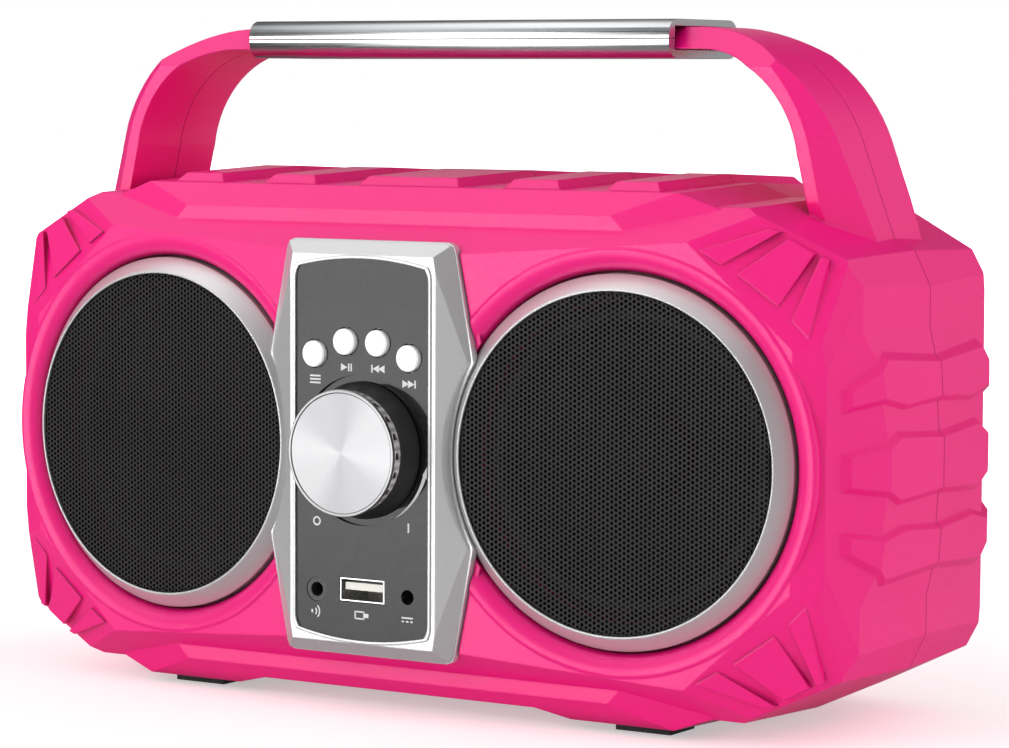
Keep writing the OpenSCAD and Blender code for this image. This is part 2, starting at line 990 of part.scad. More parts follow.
module usb_shell() {
  color("#c8cacd")
  lifted() {
    difference() {
      translate([-6.55, -56.5, usb_z - 2.85]) cube([13.1, 14.1, 5.7]);
      translate([-6.25, -60, usb_z - 2.55]) cube([12.5, 17.2, 5.1]);
    }
  }
}

module usb_tongue() {
  color("#e6e4dc")
  lifted() {
    translate([-5.55, -55.6, usb_z - 0.1]) cube([11.1, 10.8, 1.8]);
    translate([-6.2, -44.8, usb_z - 2.5]) cube([12.4, 1.9, 5]);
  }
}

module dc_jack() {
  color("#232325")
  lifted() {
    difference() {
      union() {
        translate([dc_x - 3.7, -52.6, port_z - 3.7]) cube([7.4, 9.8, 7.4]);
        y_rod(3, -54.7, -52.6, dc_x, port_z);
      }
      y_rod(1.75, -60, -44.5, dc_x, port_z);
    }
  }
}

module dc_pin() {
  color("#c8cacd")
  lifted() {
    y_rod(0.65, -53.2, -44.5, dc_x, port_z, 24);
  }
}

module amplifier_chip() {
  color("#151517")
  lifted() {
    translate([-5, board_y + board_t, -18]) cube([10, 2.2, 10]);
    translate([-8, board_y + board_t, 10]) cube([7, 1.6, 7]);
    translate([6, board_y + board_t + 6, 14]) rotate([90, 0, 0]) cylinder(h = 6, r = 4, $fn = 32);
  }
}

// ---------------------------------------------------------------- power

module battery_pack() {
  color("#3a6fb0")
  lifted() {
    for (x = [-17.6, 17.6], z = [-9.4, 9.4]) {
      translate([x - 17.5, 21, z]) rotate([0, 90, 0]) cylinder(h = 35, r = 9.2, $fn = 40);
    }
    translate([-35.1, 19, -9.4]) cube([70.2, 4, 18.8]);
  }
}

module battery_bracket() {
  color("#2a2a2c")
  lifted() {
    difference() {
      union() {
        translate([-35, 32.4, -17]) cube([70, 2, 34]);
        for (x = [-30, 30], z = [-13, 13]) {
          y_rod(3.4, 34, rear_y - wall, x, z, 32);
        }
      }
      for (x = [-30, 30], z = [-13, 13]) {
        y_rod(1.1, 30, rear_y, x, z, 16);
      }
    }
    for (z = [-21, 19.4]) {
      translate([-20, 11.2, z]) cube([40, 23.2, 1.6]);
    }
    for (z = [-21, 15]) {
      translate([-20, 11.2, z]) cube([40, 1.6, 6]);
    }
    for (z = [-21, 16.5]) {
      translate([-20, 32.4, z]) cube([40, 2, 4.5]);
    }
    for (z = [-9.4, 9.4]) {
      translate([-20, 30.25, z - 1]) cube([40, 2.4, 2]);
    }
  }
}

module bracket_screws() {
  color("#55585c")
  lifted() {
    for (x = [-30, 30], z = [-13, 13]) {
      y_rod(1.05, 32.4, rear_y - 1.2, x, z, 16);
      y_rod(2, 31.2, 32.4, x, z, 24);
    }
  }
}

// A lead drawn as straight runs that meet in slightly swollen bends.
module lead(points, r) {
  for (i = [0:len(points) - 2]) {
    a = points[i];
    d = points[i + 1] - a;
    n = norm(d);
    translate(a)
      rotate([0, acos(d[2] / n), atan2(d[1], d[0])])
        cylinder(h = n, r = r, $fn = 16);
  }
  for (i = [1:len(points) - 2]) {
    translate(points[i]) sphere(r = r * 1.2, $fn = 20);
  }
}

module speaker_lead(side) {
  color("#b03030")
  lifted()
    lead([
      [side * 9, board_y + board_t, 27], [side * 9, -32, 27], [side * 9, -32, 0],
      [side * 30.7, -32, 0], [side * 30.7, -22.7, 0]
    ], 1);
}

module battery_lead() {
  color("#b03030")
  lifted() lead([[0, board_y + board_t, -24], [0, -34, -24], [8, -2, -9.4], [8, 11.75, -9.4]], 1.2);
}

front_shell();
rear_shell();
shell_screws();
grip_upper();
grip_lower();
grip_screws();
foot_pads();
trim_ring(-1);  // trim_ring_left
trim_ring(1);  // trim_ring_right
grille(-1);  // grille_left
grille(1);  // grille_right
gasket(-1);  // gasket_left
gasket(1);  // gasket_right
basket(-1);  // basket_left
basket(1);  // basket_right
magnet(-1);  // magnet_left
magnet(1);  // magnet_right
surround(-1);  // surround_left
surround(1);  // surround_right
spider(-1);  // spider_left
spider(1);  // spider_right
cone(-1);  // cone_left
cone(1);  // cone_right
dust_cap(-1);  // dust_cap_left
dust_cap(1);  // dust_cap_right
voice_coil(-1);  // voice_coil_left
voice_coil(1);  // voice_coil_right
driver_screws();
bezel();
faceplate();
bezel_screws();
main_board();
board_screws();
display_module();
mode_button();
play_button();
previous_button();
next_button();
tact_switches();
volume_pot();
pot_nut();
pot_shaft();
knob_skirt();
knob_band();
knob_cap();
aux_jack();
usb_shell();
usb_tongue();
dc_jack();
dc_pin();
amplifier_chip();
battery_pack();
battery_bracket();
bracket_screws();
speaker_lead(-1);  // speaker_lead_left
speaker_lead(1);  // speaker_lead_right
battery_lead();
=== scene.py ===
"""Looks of the portable boombox speaker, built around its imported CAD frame.

Everything is in metres in the CAD's frame: the front is -Y, up is +Z and the origin is on the
ground between the feet.  The object's lengths are written in millimetres times MM, the printed
marks in plain millimetres and the studio in metres.
"""

import json
import math

import bpy
from mathutils import Euler, Matrix, Vector


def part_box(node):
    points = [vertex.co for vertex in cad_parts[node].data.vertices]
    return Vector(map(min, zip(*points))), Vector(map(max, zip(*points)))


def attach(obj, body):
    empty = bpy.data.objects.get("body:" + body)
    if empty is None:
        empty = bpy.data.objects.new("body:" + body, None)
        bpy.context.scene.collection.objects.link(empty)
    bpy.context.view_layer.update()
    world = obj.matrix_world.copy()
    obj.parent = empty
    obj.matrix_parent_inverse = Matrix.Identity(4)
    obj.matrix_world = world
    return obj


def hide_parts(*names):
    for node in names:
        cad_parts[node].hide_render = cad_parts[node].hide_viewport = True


MM = 0.001
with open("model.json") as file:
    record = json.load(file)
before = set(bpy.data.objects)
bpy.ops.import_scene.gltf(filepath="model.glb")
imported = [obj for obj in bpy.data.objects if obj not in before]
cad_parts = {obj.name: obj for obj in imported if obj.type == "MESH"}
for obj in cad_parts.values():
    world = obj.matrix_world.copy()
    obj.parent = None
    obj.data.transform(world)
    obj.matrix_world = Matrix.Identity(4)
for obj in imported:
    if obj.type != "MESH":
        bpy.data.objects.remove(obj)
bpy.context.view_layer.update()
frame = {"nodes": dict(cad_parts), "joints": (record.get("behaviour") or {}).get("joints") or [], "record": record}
NODES = frame["nodes"]
CABINET = "cabinet"

# ------------------------------------------------------------------ places taken from the frame


def centre(node):
    low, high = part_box(node)
    return (Vector(low) + Vector(high)) / 2


KNOB = centre("knob_cap")
AXIS_Z = KNOB.z
PLATE_FRONT = Vector(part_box("faceplate")[0]).y
GRILLE_DEPTH = 7.98 * MM
GRILLE_R = 42.05 * MM


def stroke_axis(side):
    """Unit vector out of a speaker, from the joint that moves its cone."""
    for joint in frame["joints"]:
        if joint["name"] == f"cone_{side}_stroke":
            return Vector(joint["axis"]).normalized()
    raise ValueError(side)


def speaker_matrix(side):
    """Local x to the right, y up, z out of the grille, with the origin on the grille's face."""
    out = stroke_axis(side)
    up = Vector((0, 0, 1))
    right = up.cross(out)
    face = centre(f"grille_{side}") + out * GRILLE_DEPTH / 2
    basis = Matrix((right, up, out)).transposed().to_4x4()
    return Matrix.Translation(face) @ basis


# ------------------------------------------------------------------ node materials

# The turned face and the ticks of the knob
RING_PITCH = 0.24 * MM
TICKS = 40
# The windows of the clear band lie inside the first radius and fade out by the second; painted shade darkens them.
WINDOW_R, BAND_R = 14.7 * MM, 15.0 * MM


class Paint:
    """A Principled material with helpers for the procedural nodes that feed it."""

    def __init__(self, name, colour, roughness, metallic=0.0, specular=0.5, coat=0.0):
        self.material = bpy.data.materials.new(name)
        self.material.use_nodes = True
        self.tree = self.material.node_tree
        self.bsdf = self.tree.nodes["Principled BSDF"]
        self.set("Base Color", (*colour, 1))
        self.set("Roughness", roughness)
        self.set("Metallic", metallic)
        self.set("Specular IOR Level", specular)
        self.set("Coat Weight", coat)
        self.set("Coat Roughness", 0.05)
        coords = self.node("ShaderNodeTexCoord")
        self.place = coords.outputs["Object"]
        self.bump_out = None

    def node(self, kind, **settings):
        made = self.tree.nodes.new(kind)
        for key, value in settings.items():
            setattr(made, key, value)
        return made

    def link(self, source, target):
        self.tree.links.new(source, target)

    def set(self, name, value):
        self.bsdf.inputs[name].default_value = value

    def math(self, operation, a, b=0.0):
        made = self.node("ShaderNodeMath", operation=operation)
        for slot, value in ((0, a), (1, b)):
            if isinstance(value, (int, float)):
                made.inputs[slot].default_value = value
            else:
                self.link(value, made.inputs[slot])
        return made.outputs[0]

    def noise(self, size, detail=2.0, stretch=(1, 1, 1)):
        """Noise whose features are about this size in metres."""
        mapping = self.node("ShaderNodeMapping")
        mapping.inputs["Scale"].default_value = stretch
        self.link(self.place, mapping.inputs["Vector"])
        made = self.node("ShaderNodeTexNoise")
        made.inputs["Scale"].default_value = 1 / size
        made.inputs["Detail"].default_value = detail
        self.link(mapping.outputs[0], made.inputs["Vector"])
        return made.outputs["Fac"]

    def remap(self, value, low, high, to_low, to_high):
        made = self.node("ShaderNodeMapRange")
        limits = {"From Min": low, "From Max": high, "To Min": to_low, "To Max": to_high}
        for key, number in limits.items():
            made.inputs[key].default_value = number
        self.link(value, made.inputs["Value"])
        return made.outputs["Result"]

    def mix(self, factor, a, b):
        """Colour mixed from a to b by factor; a and b are colours or sockets."""
        made = self.node("ShaderNodeMix", data_type="RGBA")
        if isinstance(factor, (int, float)):
            made.inputs["Factor"].default_value = factor
        else:
            self.link(factor, made.inputs["Factor"])
        for slot, value in (("A", a), ("B", b)):
            socket = [s for s in made.inputs if s.name == slot and s.type == "RGBA"][0]
            if isinstance(value, tuple):
                socket.default_value = (*value, 1)
            else:
                self.link(value, socket)
        return [s for s in made.outputs if s.type == "RGBA"][0]

    def colour(self, socket):
        self.link(socket, self.bsdf.inputs["Base Color"])

    def rough(self, socket):
        self.link(socket, self.bsdf.inputs["Roughness"])

    def bump(self, height, distance, strength=1.0):
        """Adds a bump of this depth in metres, on top of any bump or rounding already there."""
        made = self.node("ShaderNodeBump")
        made.inputs["Strength"].default_value = strength
        made.inputs["Distance"].default_value = distance
        self.link(height, made.inputs["Height"])
        if self.bump_out is not None:
            self.link(self.bump_out, made.inputs["Normal"])
        self.bump_out = made.outputs["Normal"]
        self.link(self.bump_out, self.bsdf.inputs["Normal"])

    def edges(self, radius):
        """Rounds sharp edges in the shading; gives 0 on flat faces, rising to 1 on edges."""
        bevel = self.node("ShaderNodeBevel", samples=6)
        bevel.inputs["Radius"].default_value = radius
        true = self.node("ShaderNodeNewGeometry")
        dot = self.node("ShaderNodeVectorMath", operation="DOT_PRODUCT")
        self.link(bevel.outputs[0], dot.inputs[0])
        self.link(true.outputs["Normal"], dot.inputs[1])
        self.bump_out = bevel.outputs[0]
        return self.remap(dot.outputs["Value"], 1.0, 0.75, 0.0, 1.0)


def about_axis(paint, middle):
    """Radius and angle of a shading point about a Y axis through middle."""
    apart = paint.node("ShaderNodeSeparateXYZ")
    paint.link(paint.place, apart.inputs[0])
    x = paint.math("SUBTRACT", apart.outputs[0], middle.x)
    z = paint.math("SUBTRACT", apart.outputs[2], middle.z)
    squares = paint.math("ADD", paint.math("MULTIPLY", x, x), paint.math("MULTIPLY", z, z))
    return paint.math("SQRT", squares), paint.math("ARCTAN2", z, x)


def pink_plastic():
    paint = Paint("pink_plastic", (0.83, 0.001, 0.195), 0.38, specular=0.5)
    # Painted highlight: sharp edges are mixed towards a lighter pink, on top of their rounded shading
    edge = paint.math("MULTIPLY", paint.edges(0.6 * MM), 0.30)
    broad = paint.noise(0.09, 3)
    base = paint.mix(broad, (0.80, 0.0, 0.185), (0.88, 0.001, 0.210))
    # Painted shade: in creases, recesses and round the speaker rings, the base colour is darkened towards deep red
    # as far as ambient occlusion finds them
    painted_crease_shade = paint.node("ShaderNodeAmbientOcclusion", samples=6)
    painted_crease_shade.inputs["Distance"].default_value = 7 * MM
    shade = paint.remap(painted_crease_shade.outputs["AO"], 0.15, 0.62, 0.0, 1.0)
    base = paint.mix(shade, (0.28, 0.0, 0.05), base)
    paint.colour(paint.mix(edge, base, (0.90, 0.05, 0.30)))
    speckle = paint.noise(1.1 * MM, 2)
    paint.rough(paint.remap(speckle, 0.3, 0.7, 0.29, 0.38))
    paint.bump(paint.noise(0.45 * MM, 2), 0.02 * MM, 0.55)
    paint.bump(paint.noise(14 * MM, 2), 0.08 * MM, 0.5)
    return paint


def satin_metal():
    paint = Paint("satin_chrome", (0.60, 0.61, 0.62), 0.28, metallic=1)
    streak = paint.noise(0.4 * MM, 3, stretch=(0.02, 1, 1))
    paint.rough(paint.remap(streak, 0.3, 0.7, 0.23, 0.33))
    paint.colour(paint.mix(paint.noise(30 * MM, 2), (0.57, 0.58, 0.595), (0.64, 0.65, 0.665)))
    paint.bump(streak, 0.008 * MM, 0.5)
    return paint


def silver_lacquer():
    paint = Paint("silver_lacquer", (0.50, 0.50, 0.51), 0.36, metallic=0.6, coat=0.15)
    # Painted highlight: sharp edges are mixed towards a lighter silver, on top of their rounded shading
    edge = paint.math("MULTIPLY", paint.edges(0.5 * MM), 0.3)
    flake = paint.noise(0.22 * MM, 1)
    base = paint.mix(flake, (0.58, 0.575, 0.58), (0.70, 0.695, 0.70))
    paint.colour(paint.mix(edge, base, (0.86, 0.86, 0.87)))
    paint.rough(paint.remap(flake, 0.3, 0.7, 0.32, 0.42))
    paint.bump(flake, 0.01 * MM, 0.5)
    return paint


def gloss_black():
    paint = Paint("gloss_black", (0.006, 0.006, 0.007), 0.3, specular=0.1, coat=0.45)
    dust = paint.noise(2.5 * MM, 3)
    paint.rough(paint.remap(dust, 0.35, 0.75, 0.25, 0.35))
    paint.colour(paint.mix(paint.noise(40 * MM), (0.005, 0.005, 0.006), (0.009, 0.009, 0.010)))
    paint.bump(paint.noise(18 * MM, 1), 0.02 * MM, 0.5)
    return paint


def moulded(name, colour, roughness, grain=0.5 * MM, depth=0.02 * MM, specular=0.45):
    """Moulded or pressed material: a fine grain, with its colour and sheen slightly uneven."""
    paint = Paint(name, colour, roughness, specular=specular)
    light = tuple(min(1.0, c * 1.25 + 0.004) for c in colour)
    paint.colour(paint.mix(paint.noise(8 * MM, 3), colour, light))
    fine = paint.noise(grain, 2)
    paint.rough(paint.remap(fine, 0.3, 0.7, roughness - 0.06, roughness + 0.06))
    paint.bump(fine, depth, 0.6)
    return paint


def plated(name, colour, roughness):
    """Plated or bare metal with fine drawn lines."""
    paint = Paint(name, colour, roughness, metallic=1)
    line = paint.noise(0.25 * MM, 3, stretch=(1, 0.1, 1))
    paint.rough(paint.remap(line, 0.3, 0.7, roughness - 0.06, roughness + 0.08))
    paint.colour(paint.mix(paint.noise(4 * MM, 2), colour, tuple(c * 0.85 for c in colour)))
    paint.bump(line, 0.006 * MM, 0.5)
    return paint


def spun_metal():
    """Turned aluminium: fine rings about the knob's axis as a bump, with a painted reflection of light and dark
    sectors round it.
    """
    paint = Paint("spun_aluminium", (0.80, 0.80, 0.81), 0.30, metallic=1)
    radius, angle = about_axis(paint, KNOB)
    ring = paint.math("SINE", paint.math("MULTIPLY", radius, 2 * math.pi / RING_PITCH))
    # Painted reflection: light and dark sectors round the axis are painted into the colour
    fan = paint.math("COSINE", paint.math("ADD", paint.math("MULTIPLY", angle, 2), -0.5))
    narrow = paint.math("COSINE", paint.math("ADD", paint.math("MULTIPLY", angle, 6), 1.0))
    sheen = paint.math("ADD", fan, paint.math("MULTIPLY", narrow, 0.25))
    painted_fan_light = paint.remap(sheen, -1.25, 1.25, 0, 1)
    paint.colour(paint.mix(painted_fan_light, (0.21, 0.21, 0.215), (0.30, 0.30, 0.305)))
    paint.bump(ring, 0.003 * MM, 0.6)
    paint.rough(paint.remap(ring, -1, 1, 0.26, 0.34))
    paint.set("Anisotropic", 0.7)
    tangent = paint.node("ShaderNodeTangent", direction_type="RADIAL", axis="Y")
    paint.link(tangent.outputs[0], paint.bsdf.inputs["Tangent"])
    return paint


def clear_band():
    """Clear ring of the knob over a metal lining, with painted glints on its facets and painted shade inside its
    windows.
    """
    paint = Paint("clear_band", (0.62, 0.61, 0.62), 0.2, metallic=0.25, coat=1.0)
    radius, angle = about_axis(paint, KNOB)
    facet = paint.math("SINE", paint.math("MULTIPLY", angle, TICKS))
    inside = paint.remap(radius, WINDOW_R, BAND_R, 1, 0)
    # Painted glints: each facet is lighter or darker by its angle round the axis
    glint = paint.remap(facet, -1, 1, 0, 1)
    base = paint.mix(glint, (0.40, 0.38, 0.38), (0.80, 0.77, 0.77))
    # Painted shade: the window pockets are darkened almost to black
    paint.colour(paint.mix(inside, base, (0.03, 0.03, 0.032)))
    paint.bump(facet, 0.12 * MM, 0.6)
    paint.rough(paint.remap(facet, -1, 1, 0.10, 0.22))
    return paint


def grille_paint():
    paint = Paint("grille_paint", (0.018, 0.016, 0.017), 0.5, specular=0.18)
    speck = paint.noise(0.5 * MM, 2)
    paint.colour(paint.mix(paint.noise(25 * MM, 2), (0.014, 0.012, 0.013), (0.026, 0.023, 0.024)))
    paint.rough(paint.remap(speck, 0.3, 0.7, 0.42, 0.58))
    paint.bump(speck, 0.015 * MM, 0.6)
    return paint


def woven(name, colour, thread):
    """Cloth or pressed fibre: two crossed waves of threads."""
    paint = Paint(name, colour, 0.8, specular=0.2)
    across = paint.node("ShaderNodeTexWave", bands_direction="X")
    along = paint.node("ShaderNodeTexWave", bands_direction="Z")
    for wave in (across, along):
        wave.inputs["Scale"].default_value = 1 / (thread * 6)
        wave.inputs["Distortion"].default_value = 0.6
        paint.link(paint.place, wave.inputs["Vector"])
    weave = paint.math("MAXIMUM", across.outputs["Fac"], along.outputs["Fac"])
    paint.colour(paint.mix(weave, tuple(c * 0.6 for c in colour), colour))
    paint.bump(weave, 0.1 * MM, 0.7)
    return paint


def circuit_green():
    paint = Paint("circuit_green", (0.02, 0.16, 0.06), 0.3, specular=0.5)
    cells = paint.node("ShaderNodeTexBrick")
    cells.inputs["Scale"].default_value = 220
    cells.inputs["Color1"].default_value = (0.02, 0.16, 0.06, 1)
    cells.inputs["Color2"].default_value = (0.03, 0.21, 0.08, 1)
    cells.inputs["Mortar"].default_value = (0.05, 0.28, 0.11, 1)
    swing = paint.node("ShaderNodeMapping")
    swing.inputs["Rotation"].default_value = (math.pi / 2, 0, 0)
    paint.link(paint.place, swing.inputs["Vector"])
    paint.link(swing.outputs[0], cells.inputs["Vector"])
    paint.colour(cells.outputs["Color"])
    paint.bump(cells.outputs["Fac"], 0.03 * MM, 0.5)
    return paint


PAINTS = {
    "pink_shell": pink_plastic(),
    "dark_steel": plated("dark_steel", (0.16, 0.16, 0.17), 0.35),
    "satin_metal": satin_metal(),
    "pad_rubber": moulded("pad_rubber", (0.012, 0.012, 0.012), 0.72, 0.8 * MM, 0.04 * MM),
    "silver_plastic": silver_lacquer(),
    "black_mesh": grille_paint(),
    "foam": moulded("foam", (0.03, 0.03, 0.03), 0.9, 0.9 * MM, 0.2 * MM, 0.2),
    "basket_steel": plated("basket_steel", (0.07, 0.07, 0.075), 0.45),
    "ferrite": moulded("ferrite", (0.06, 0.06, 0.065), 0.55, 0.6 * MM, 0.03 * MM),
    "surround_rubber": moulded("surround_rubber", (0.012, 0.012, 0.012), 0.55),
    "spider_cloth": woven("spider_cloth", (0.55, 0.34, 0.10), 0.5 * MM),
    "cone_plastic": woven("cone_fibre", (0.022, 0.022, 0.024), 0.7 * MM),
    "copper": plated("copper_wire", (0.72, 0.34, 0.16), 0.3),
    "black_gloss": gloss_black(),
    "board_green": circuit_green(),
    "button_silver": moulded("button_silver", (0.80, 0.80, 0.81), 0.30, 0.25 * MM, 0.006 * MM, 0.6),
    "black_plastic": moulded("black_plastic", (0.018, 0.018, 0.019), 0.34),
    "bright_steel": plated("bright_steel", (0.66, 0.66, 0.68), 0.24),
    "clear_plastic": clear_band(),
    "spun_aluminium": spun_metal(),
    "white_plastic": moulded("white_plastic", (0.72, 0.71, 0.66), 0.45),
    "cell_wrap": moulded("cell_wrap", (0.03, 0.13, 0.42), 0.3),
    "lead_red": moulded("lead_red", (0.40, 0.012, 0.012), 0.5),
}

for part in frame["record"]["subparts"]:
    cad_mesh = NODES[part["node"]].data
    cad_mesh.materials.clear()
    cad_mesh.materials.append(PAINTS[part["material_slot"]].material)


# ------------------------------------------------------------------ softened edges of CAD nodes

# Edges that bend by less than this are left as they are.
SOFTENED_FROM = math.radians(24)


def soften(node, width):
    """Rounds a CAD node's sharp edges with modifiers; its own mesh stays as it is."""
    thing = NODES[node]
    weld = thing.modifiers.new("weld", "WELD")
    weld.merge_threshold = 0.002 * MM
    round_off = thing.modifiers.new("round", "BEVEL")
    round_off.width = width
    round_off.segments = 2
    round_off.limit_method = "ANGLE"
    round_off.angle_limit = SOFTENED_FROM
    round_off.use_clamp_overlap = True
    round_off.harden_normals = True


SOFT_EDGES = {"foot_pads": 0.4 * MM, "grip_upper": 0.15 * MM, "grip_lower": 0.15 * MM}
for soft_node, soft_width in SOFT_EDGES.items():
    soften(soft_node, soft_width)


# ------------------------------------------------------------------ mesh building

# Faces that meet at less than this are shaded as one smooth surface.
SMOOTH_BELOW = math.radians(35)


def piece(name, verts, faces, slot, matrix=None, smooth=True):
    """A mesh piece that rides on the cabinet and is painted as its slot says."""
    mesh = bpy.data.meshes.new(name)
    mesh.from_pydata(verts, [], faces)
    if matrix is not None:
        mesh.transform(matrix)
    mesh.validate()
    mesh.update()
    mesh.materials.append(PAINTS[slot].material)
    made = bpy.data.objects.new(name, mesh)
    bpy.context.scene.collection.objects.link(made)
    if smooth:
        mesh.polygons.foreach_set("use_smooth", [True] * len(mesh.polygons))
        mesh.set_sharp_from_angle(angle=SMOOTH_BELOW)
    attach(made, CABINET)
    return made


class Grid:
    """Collects faces whose corners are shared by place."""

    def __init__(self):
        self.verts = []
        self.faces = []
        self.seen = {}

    def corner(self, x, y, z):
        key = (round(x * 1e6), round(y * 1e6), round(z * 1e6))
        if key not in self.seen:
            self.seen[key] = len(self.verts)
            self.verts.append((x, y, z))
        return self.seen[key]

    def face(self, *points):
        self.faces.append([self.corner(*p) for p in points])


HOLE_PITCH = 1.27 * MM
HOLE_R = 0.44 * MM
SHEET = 0.5 * MM
# Cells whose middle lies farther out than this are left off the sheet.
LAST_CELL_R = 40.6 * MM


def regular(cx, cy, radius, count):
    """Corners of a regular polygon about (cx, cy)."""
    turns = [2 * math.pi * i / count for i in range(count)]
    return [(cx + radius * math.cos(t), cy + radius * math.sin(t)) for t in turns]


def hole_cell(grid, cx, cy):
    """One hexagonal cell of perforated sheet: a round hole, its wall and both faces."""
    outer = regular(cx, cy, HOLE_PITCH / math.sqrt(3), 6)
    hole = regular(cx, cy, HOLE_R, 12)
    for i in range(6):
        a, b = outer[i], outer[(i + 1) % 6]
        h = [hole[2 * i], hole[2 * i + 1], hole[(2 * i + 2) % 12]]
        for z, turn in ((0.0, 1), (-SHEET, -1)):
            for tri in ((a, h[1], h[0]), (a, b, h[1]), (b, h[2], h[1])):
                grid.face(*[(x, y, z) for x, y in tri[::turn]])
        for p, q in ((h[0], h[1]), (h[1], h[2])):
            grid.face((*p, 0.0), (*q, 0.0), (*q, -SHEET), (*p, -SHEET))


def close_sheet(grid):
    """Walls along the open edge of the sheet, from its front face to its back face."""
    counts = {}
    for face in grid.faces:
        for a, b in zip(face, face[1:] + face[:1]):
            counts[(a, b)] = counts.get((a, b), 0) + 1
    for a, b in [e for e in counts if (e[1], e[0]) not in counts]:
        pa, pb = grid.verts[a], grid.verts[b]
        if pa[2] == 0.0 and pb[2] == 0.0:
            grid.face(pb, pa, (pa[0], pa[1], -SHEET), (pb[0], pb[1], -SHEET))


def lathe(name, profile, slot, matrix, steps=96):
    """A closed profile of (radius, z) turned about local z."""
    verts, faces = [], []
    count = len(profile)
    for i in range(steps):
        turn = 2 * math.pi * i / steps
        verts += [(r * math.cos(turn), r * math.sin(turn), z) for r, z in profile]
    for i in range(steps):
        near, far = i * count, (i + 1) % steps * count
        for j in range(count):
            k = (j + 1) % count
            faces.append((near + j, far + j, far + k, near + k))
    return piece(name, verts, faces, slot, matrix)


def grille(side):
    """Perforated sheet and its turned rim, in place of the plain disc of the CAD."""
    grid = Grid()
    column = HOLE_PITCH * math.sqrt(3) / 2
    reach = int(LAST_CELL_R / column) + 1
    for i in range(-reach, reach + 1):
        for j in range(-reach - 1, reach + 2):
            cx, cy = i * column, (j + 0.5 * (i % 2)) * HOLE_PITCH
            if math.hypot(cx, cy) < LAST_CELL_R:
                hole_cell(grid, cx, cy)
    close_sheet(grid)
    matrix = speaker_matrix(side)
    sheet = piece(f"grille_sheet_{side}", grid.verts, grid.faces, "black_mesh", matrix=matrix)
    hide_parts(f"grille_{side}")
    # Radii of the flange behind the sheet, the inside of the skirt and the foot turned inwards.
    flange, inside, foot = 40.0 * MM, 41.35 * MM, 38.6 * MM
    under, step, flange_back, foot_top = 0.62 * MM, 1.35 * MM, 2 * MM, 7.5 * MM
    skirt = [
        (flange, -under), (inside, -under), (inside, -step), (GRILLE_R, -step),
        (GRILLE_R, -GRILLE_DEPTH), (foot, -GRILLE_DEPTH), (foot, -foot_top), (inside, -foot_top),
        (inside, -flange_back), (flange, -flange_back),
    ]
    lathe(f"grille_rim_{side}", skirt[::-1], "black_mesh", matrix)


for speaker_side in ("left", "right"):
    grille(speaker_side)


# ------------------------------------------------------------------ printed marks on the panel

PRINT = 0.05 * MM
INK = moulded("panel_ink", (0.62, 0.62, 0.63), 0.45, 0.3 * MM, 0.004 * MM)
SMOKE = Paint("display_smoke", (0.008, 0.006, 0.007), 0.26, specular=0.1, coat=0.42)
SMOKE.colour(SMOKE.mix(SMOKE.noise(6 * MM, 2), (0.009, 0.006, 0.007), (0.014, 0.010, 0.011)))
SMOKE.rough(SMOKE.remap(SMOKE.noise(1 * MM, 2), 0.3, 0.7, 0.22, 0.32))


def repaint(made, paint):
    made.data.materials.clear()
    made.data.materials.append(paint.material)


def prints(name, outlines, paint, height=PRINT):
    """Raised print on the faceplate; each outline lists (x, z) from the knob's axis in mm."""
    verts, faces = [], []
    for outline in outlines:
        start, count = len(verts), len(outline)
        for y in (PLATE_FRONT - height, PLATE_FRONT):
            verts += [(x * MM, y, AXIS_Z + z * MM) for x, z in outline]
        faces.append(list(range(start, start + count)))
        faces.append(list(range(start + 2 * count - 1, start + count - 1, -1)))
        for i in range(count):
            j = (i + 1) % count
            faces.append((start + j, start + i, start + count + i, start + count + j))
    repaint(piece(name, verts, faces, "button_silver", smooth=False), paint)


def bar(x, z, w, h):
    """Rectangle about (x, z)."""
    left, right, low, high = x - w / 2, x + w / 2, z - h / 2, z + h / 2
    return [(left, low), (right, low), (right, high), (left, high)]


def arrow_right(x, z, size):
    return [(x - size / 2, z - size / 2), (x + size / 2, z), (x - size / 2, z + size / 2)]


def arrow_left(x, z, size):
    return [(2 * x - px, pz) for px, pz in arrow_right(x, z, size)][::-1]


def arc_strip(x, z, r, width, start, end, steps=24):
    """Strip of a circle between two angles in degrees."""
    turns = [math.radians(start + (end - start) * i / steps) for i in range(steps + 1)]
    edges = []
    for edge in (r + width / 2, r - width / 2):
        edges.append([(x + edge * math.cos(t), z + edge * math.sin(t)) for t in turns])
    return edges[0] + edges[1][::-1]


# Under the buttons: a short list, play and pause, back, forward.  All lengths here are in mm.
ICON_DROP = 6.3
LINE = 0.42
TALL = 1.9
BUTTONS = [centre(n) for n in ("mode_button", "play_button", "previous_button", "next_button")]
SPOTS = [((b.x - KNOB.x) / MM, (b.z - AXIS_Z) / MM - ICON_DROP) for b in BUTTONS]
(mode_x, mode_z), (play_x, play_z), (back_x, back_z), (next_x, next_z) = SPOTS
marks = [bar(mode_x, mode_z + step, 3.2, LINE) for step in (-0.85, 0, 0.85)]
marks += [arrow_right(play_x - 0.5, play_z, TALL)]
marks += [bar(play_x + shift, play_z, LINE, TALL) for shift in (0.85, 1.6)]
marks += [bar(back_x - 1.75, back_z, LINE, TALL)]
marks += [arrow_left(back_x + shift, back_z, TALL) for shift in (-0.6, 1.0)]
marks += [bar(next_x + 1.75, next_z, LINE, TALL)]
marks += [arrow_right(next_x + shift, next_z, TALL) for shift in (0.6, -1.0)]
# Off and on, beside the knob: a ring and a stroke.
SWITCH_Z = -18.2
marks += [arc_strip(-13.4, SWITCH_Z, 0.95, LINE, start, start + 180) for start in (0, 180)]
marks += [bar(13.8, SWITCH_Z, 0.45, 2.3)]
